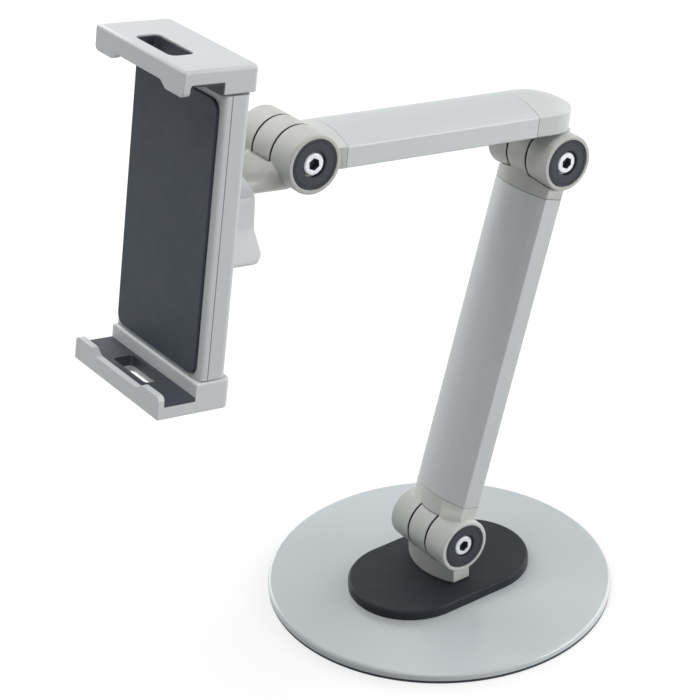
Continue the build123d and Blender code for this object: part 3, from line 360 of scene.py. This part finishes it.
def turned(name, node, finish, origin, axis, across, profile, steps):
    """Piece turned on a lathe: a closed outline of (radius, height) points carried round an axis.

    With u going round and (r, h) along the outline, a point is
    origin + h * axis + r * (cos u * across + sin u * (axis x across)). Outline corners stay sharp.
    """
    origin, axis, across = (np.array(vector, float) for vector in (origin, axis, across))
    profile = np.array(profile, float) * MM
    turn = np.linspace(0, 2 * np.pi, steps, endpoint=False)
    around = np.cos(turn)[:, None] * across + np.sin(turn)[:, None] * np.cross(axis, across)
    points = (
        origin
        + profile[None, :, 1, None] * axis
        + profile[None, :, 0, None] * around[:, None, :]
    ).reshape(-1, 3)
    rows = len(profile)
    u, v = np.meshgrid(np.arange(steps), np.arange(rows), indexing="ij")
    u_next, v_next = (u + 1) % steps, (v + 1) % rows
    faces = np.stack(
        [u * rows + v, u_next * rows + v, u_next * rows + v_next, u * rows + v_next], axis=-1
    ).reshape(-1, 4)
    surface(name, node, finish, points, faces)


def arc(centre, radius, start, end, count):
    """Outline points on an arc, its angles in degrees."""
    angles = np.radians(np.linspace(start, end, count))
    return [(centre[0] + radius * np.cos(a), centre[1] + radius * np.sin(a)) for a in angles]


# Painted disc: rounded upper rim, a small lower one, and the well round the swivel bolt
DISC_BOTTOM, DISC_RADIUS, DISC_HEIGHT, WELL_RADIUS = 1.3, 84.97, 3.5, 12.0
LOWER_RIM, UPPER_RIM, DISC_STEPS = 0.3, 1.6, 512
turned(
    "base_disc_turned",
    "base_disc",
    "disc_paint",
    (0.0, 0.0, DISC_BOTTOM * MM),
    UP,
    SIDEWAYS,
    [(WELL_RADIUS, 0.0)]
    + arc((DISC_RADIUS - LOWER_RIM, LOWER_RIM), LOWER_RIM, -90, 0, count=5)
    + arc((DISC_RADIUS - UPPER_RIM, DISC_HEIGHT - UPPER_RIM), UPPER_RIM, 0, 90, count=13)
    + [(WELL_RADIUS, DISC_HEIGHT)],
    DISC_STEPS,
)

# Hinge caps sunk in the barrels, with a rounded rim and a fine groove. The near ones are rings
# round the bolt heads, and the far ones are closed, with a shallow dimple.
CAP_FLOOR, CAP_RADIUS, CAP_HEIGHT, CAP_RIM, CAP_STEPS = 18.55, 11.1, 2.2, 0.35, 128
GROOVE_TOP, GROOVE_BOTTOM, GROOVE_DEPTH = (10.2, 9.8), (10.1, 9.9), 0.18
RING_OPENING, RING_CHAMFER = 5.9, 0.4
DIMPLE_TOP, DIMPLE_BOTTOM, DIMPLE_DEPTH = 6.2, 6.0, 0.3
CAP_OUTSIDE = [
    (CAP_RADIUS, 0.0),
    *arc((CAP_RADIUS - CAP_RIM, CAP_HEIGHT - CAP_RIM), CAP_RIM, 0, 90, count=5),
    (GROOVE_TOP[0], CAP_HEIGHT),
    (GROOVE_BOTTOM[0], CAP_HEIGHT - GROOVE_DEPTH),
    (GROOVE_BOTTOM[1], CAP_HEIGHT - GROOVE_DEPTH),
    (GROOVE_TOP[1], CAP_HEIGHT),
]
CAP_RING = [
    (RING_OPENING + RING_CHAMFER, CAP_HEIGHT),
    (RING_OPENING, CAP_HEIGHT - RING_CHAMFER),
    (RING_OPENING, 0.0),
]
CAP_DIMPLE = [
    (DIMPLE_TOP, CAP_HEIGHT),
    (DIMPLE_BOTTOM, CAP_HEIGHT - DIMPLE_DEPTH),
    (0.0, CAP_HEIGHT - DIMPLE_DEPTH),
    (0.0, 0.0),
]
for hinge, axis_point in HINGE_AXES.items():
    for side, way, cap_middle in (("near", 1.0, CAP_RING), ("far", -1.0, CAP_DIMPLE)):
        turned(
            f"{hinge}_{side}_cap_turned",
            f"{hinge}_hinge_{side}_cap",
            "cap_plastic",
            (np.array(axis_point) + (way * CAP_FLOOR, 0.0, 0.0)) * MM,
            (way, 0.0, 0.0),
            BACKWARD,
            CAP_OUTSIDE + cap_middle,
            CAP_STEPS,
        )


def two_finishes(node, finish, second, hinge, is_second):
    """Skin with a second finish on the faces that a test picks by their middles.

    The test gets the middles in millimetres from the middle of the hinge.
    """
    mesh = skin(node, finish).data
    mesh.materials.append(FINISHES[second])
    centres = np.empty(len(mesh.polygons) * 3)
    mesh.polygons.foreach_get("center", centres)
    centres = centres.reshape(-1, 3) / MM - np.array(HINGE_AXES[hinge])
    mesh.polygons.foreach_set("material_index", is_second(centres).astype(np.int32))
    mesh.update()


def from_axis(at):
    """Distance of points from the axis of their hinge."""
    return np.hypot(at[:, 1], at[:, 2])


# Hinge bolts: bright steel outside, with painted shade, a dark blue-grey, on the hexagonal socket
# inside the head.
# The limits lie just below the socket's floor, just below the top of the head and round the
# socket.
SOCKET_INNER, SOCKET_OUTER, SOCKET_RADIUS = 16.9, 20.3, 3.0
for hinge in HINGE_AXES:
    two_finishes(
        f"{hinge}_hinge_bolt",
        "bolt_steel",
        "socket_painted_shade",
        hinge,
        lambda at: (
            (at[:, 0] > SOCKET_INNER) & (at[:, 0] < SOCKET_OUTER) & (from_axis(at) < SOCKET_RADIUS)
        ),
    )

# Elbow end: pale like the arm, with darker knuckles below the arm's underside and beside it
ARM_TURN = math.radians(UPPER_ARM_RISE)
ARM_OUT = np.array([0.0, math.sin(ARM_TURN), math.cos(ARM_TURN)])
ARM_UNDERSIDE, ARM_SIDE = 9.3, 18.6
two_finishes(
    "upper_arm_elbow_end",
    "cast_pale",
    "cast_grey",
    "elbow",
    lambda at: (at @ ARM_OUT < ARM_UNDERSIDE) | (np.abs(at[:, 0]) > ARM_SIDE),
)
# Head end: its crown is pale like the arm, the knuckle and the sides are darker
CROWN_UNDERSIDE, KNUCKLE_RADIUS = 5.0, 13.9
two_finishes(
    "upper_arm_head_end",
    "cast_grey",
    "cast_pale",
    "head",
    lambda at: (at @ ARM_OUT > CROWN_UNDERSIDE) & (from_axis(at) > KNUCKLE_RADIUS),
)

# Springs on the slide rods: round wire wound round each rod, from the rod's nut up to the guide.
# Their ends are counted up the panel from its middle, and their depth behind its face.
PANEL_TURN = math.radians(PANEL_LEAN)
PANEL_UP = np.array([0.0, math.sin(PANEL_TURN), math.cos(PANEL_TURN)])
PANEL_OUT = np.array([0.0, -math.cos(PANEL_TURN), math.sin(PANEL_TURN)])
PANEL_MIDDLE = np.array([0.0, -140.949, 241.124])
SPRING_LOW, SPRING_HIGH, ROD_DEPTH, ROD_SPACING = -42.5, 50.1, 7.4, 40.0
SPRING_RADIUS, SPRING_WIRE, SPRING_TURNS, JAW_TRAVEL = 3.0, 0.58, 13, 75.0
# The end turns rise to this many wire radii. A turn has this many steps, the wire these sides.
END_RISE, TURN_STEPS, WIRE_SIDES = 3.2, 36, 10


def coils(name, node, finish, feet, along, length):
    """Springs of round wire, one from each foot along the same axis.

    At the winding angle t the middle of the wire is foot + radius * d(t) + h(t) * axis, where d(t)
    turns round the axis and h(t) climbs slowly in the first and the last turn. The skin of the
    wire lies one wire radius away from there, at every angle s between d(t) and the axis.
    """
    t = np.linspace(0, 2 * np.pi * SPRING_TURNS, TURN_STEPS * SPRING_TURNS + 1)
    near_end = END_RISE * SPRING_WIRE
    height = np.interp(
        t / (2 * np.pi),
        [0, 1, SPRING_TURNS - 1, SPRING_TURNS],
        [SPRING_WIRE, near_end, length - near_end, length - SPRING_WIRE],
    )
    sideways = np.array(SIDEWAYS)
    d = np.cos(t)[:, None] * sideways + np.sin(t)[:, None] * np.cross(along, sideways)
    s = np.linspace(0, 2 * np.pi, WIRE_SIDES, endpoint=False)
    reach = SPRING_RADIUS + SPRING_WIRE * np.cos(s)
    lift = height[:, None] + SPRING_WIRE * np.sin(s)
    wire = (reach[None, :, None] * d[:, None, :] + lift[:, :, None] * along).reshape(-1, 3)
    points = np.concatenate([foot + wire for foot in feet]) * MM
    row, place = np.meshgrid(np.arange(len(t) - 1), np.arange(WIRE_SIDES), indexing="ij")
    beside = (place + 1) % WIRE_SIDES
    first = row * WIRE_SIDES
    second = first + WIRE_SIDES
    faces = np.stack(
        [first + place, second + place, second + beside, first + beside], axis=-1
    ).reshape(-1, 4)
    faces = np.concatenate([faces + len(wire) * index for index in range(len(feet))])
    return surface(name, node, finish, points, faces)


spring_length = SPRING_HIGH - SPRING_LOW
spring_feet = [
    PANEL_MIDDLE
    + np.array([side * ROD_SPACING / 2, 0, 0])
    + SPRING_LOW * PANEL_UP
    - ROD_DEPTH * PANEL_OUT
    for side in (-1, 1)
]
springs = coils(
    "jaw_springs_coiled", "jaw_springs", "bright_steel", spring_feet, PANEL_UP, spring_length
)
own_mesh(springs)

# Small pieces that keep the meshes of their solids
STEEL_NODES = [
    "base_plate_screws", "swivel_bolt", "swivel_washer", "lower_arm_screws", "upper_arm_screws",
    "spindle_screw", "spindle_washer", "head_shell_screws", "lower_jaw_screws", "jaw_rods",
    "jaw_rod_nuts", "base_hinge_nut", "elbow_hinge_nut", "head_hinge_nut",
]
for node in STEEL_NODES:
    paint(frame["nodes"][node].data, "bright_steel")
paint(frame["nodes"]["foot_washer"].data, "black_nylon")


# Studio

WHITE = (1.0, 1.0, 1.0, 1.0)
FLOOR_RADIUS, FLOOR_HEIGHT, FLOOR_SIDES = 6.0, -0.0002, 96
FLOOR_GREY = 0.45
# The camera sees the floor lit from within, and the far floor more so, between two distances
FLOOR_LIFT, FAR_LIFT, FAR_START, FAR_END = 0.6, 0.4, 0.5, 1.5
FILL_COLOUR, FILL_STRENGTH = (0.97, 0.985, 1.0, 1.0), 0.105


def stage_disc(name, radius, height):
    """Flat round floor: points on one circle at the given height, joined by one face."""
    angles = np.linspace(0, 2 * np.pi, FLOOR_SIDES, endpoint=False)
    points = np.column_stack(
        [radius * np.cos(angles), radius * np.sin(angles), np.full(FLOOR_SIDES, height)]
    )
    mesh = bpy.data.meshes.new(name)
    mesh.from_pydata(points.tolist(), [], [list(range(FLOOR_SIDES))])
    floor = bpy.data.objects.new(name, mesh)
    bpy.context.scene.collection.objects.link(floor)
    return floor


def worked_out(tree, operation, *values):
    """Result of a calculation with plain numbers and with outputs of other nodes."""
    step = tree.nodes.new("ShaderNodeMath")
    step.operation = operation
    for entry, value in zip(step.inputs, values):
        if isinstance(value, float):
            entry.default_value = value
        else:
            tree.links.new(value, entry)
    return step.outputs[0]


def rays(tree, kind):
    """One for rays of a kind and nought for all others."""
    return tree.nodes.new("ShaderNodeLightPath").outputs[f"Is {kind} Ray"]


def seen_directly(tree):
    """One for rays from the camera, from gloss and through glass, and nought for light."""
    unbent = worked_out(tree, "MAXIMUM", rays(tree, "Camera"), rays(tree, "Glossy"))
    return worked_out(tree, "MAXIMUM", unbent, rays(tree, "Transmission"))


def far_away(tree, near, far):
    """Nought nearer to the middle than near, rising to one at far, for the camera alone."""
    distance = tree.nodes.new("ShaderNodeVectorMath")
    distance.operation = "LENGTH"
    tree.links.new(object_coordinates(tree), distance.inputs[0])
    rise = spread(tree, distance.outputs["Value"], 0.0, 1.0, near, far)
    return worked_out(tree, "MULTIPLY", rise, rays(tree, "Camera"))


floor = stage_disc("floor", FLOOR_RADIUS, FLOOR_HEIGHT)
floor_tree, floor_shader = new_finish("floor_paper")
floor_shader.inputs["Base Color"].default_value = (FLOOR_GREY, FLOOR_GREY, FLOOR_GREY, 1.0)
floor_shader.inputs["Roughness"].default_value = 0.9
floor_shader.inputs["Specular IOR Level"].default_value = 0.1
floor_shader.inputs["Emission Color"].default_value = WHITE
floor_light = worked_out(floor_tree, "MULTIPLY", seen_directly(floor_tree), FLOOR_LIFT)
far_floor = far_away(floor_tree, FAR_START, FAR_END)
all_light = worked_out(floor_tree, "MULTIPLY_ADD", far_floor, FAR_LIFT, floor_light)
floor_tree.links.new(all_light, floor_shader.inputs["Emission Strength"])
paint(floor.data, "floor_paper")

world = bpy.data.worlds.new("studio")
bpy.context.scene.world = world
world.use_nodes = True
sky = world.node_tree
light_fill = sky.nodes["Background"]
light_fill.inputs["Color"].default_value = FILL_COLOUR
light_fill.inputs["Strength"].default_value = FILL_STRENGTH
backdrop = sky.nodes.new("ShaderNodeBackground")
backdrop.inputs["Color"].default_value = WHITE
backdrop.inputs["Strength"].default_value = 1.0
choose = sky.nodes.new("ShaderNodeMixShader")
sky.links.new(seen_directly(sky), choose.inputs["Fac"])
sky.links.new(light_fill.outputs["Background"], choose.inputs[1])
sky.links.new(backdrop.outputs["Background"], choose.inputs[2])
sky.links.new(choose.outputs["Shader"], sky.nodes["World Output"].inputs["Surface"])

# Square lamps round the stand, all turned to one point: place, size and power
LAMP_TARGET = Vector((0.0, -0.03, 0.15))
LAMPS = {
    "above": ((0.0, -0.5, 1.8), 1.2, 19.8),
    "left": ((-1.6, 0.0, 0.6), 1.2, 14.7),
    "low_right": ((1.3, 1.0, 0.3), 0.9, 15.5),
    "behind": ((0.1, 1.6, 0.7), 1.2, 12.4),
    "right": ((1.6, 0.2, 0.6), 1.2, 2.7),
    "left_front": ((-1.0, -1.2, 0.8), 0.9, 2.0),
}
for name, (place, size, power) in LAMPS.items():
    lamp = bpy.data.lights.new(name, "AREA")
    lamp.shape = "SQUARE"
    lamp.size = size
    lamp.energy = power
    stand = bpy.data.objects.new(name, lamp)
    turn = (Vector(place) - LAMP_TARGET).to_track_quat("Z", "Y").to_matrix().to_4x4()
    stand.matrix_world = Matrix.Translation(place) @ turn
    bpy.context.scene.collection.objects.link(stand)

# Camera where the photographer stood
CAMERA_PLACE = (0.7440306, -0.5670315, 0.6452601)
CAMERA_RIGHT = Vector((0.5810303, 0.8135419, -0.0235236))
CAMERA_UP = Vector((-0.3798629, 0.2966326, 0.8761925))
SENSOR_WIDTH, FOCAL_LENGTH = 36.0, 116.493
NEAREST_SEEN, FARTHEST_SEEN = 0.05, 50.0
lens = bpy.data.cameras.new("camera")
lens.sensor_width = SENSOR_WIDTH
lens.lens = FOCAL_LENGTH
lens.clip_start = NEAREST_SEEN
lens.clip_end = FARTHEST_SEEN
camera = bpy.data.objects.new("camera", lens)
turn = Matrix((CAMERA_RIGHT, CAMERA_UP, CAMERA_RIGHT.cross(CAMERA_UP))).transposed()
camera.matrix_world = Matrix.Translation(CAMERA_PLACE) @ turn.to_4x4()
bpy.context.scene.collection.objects.link(camera)
bpy.context.scene.camera = camera

bpy.context.scene.view_settings.view_transform = "Standard"
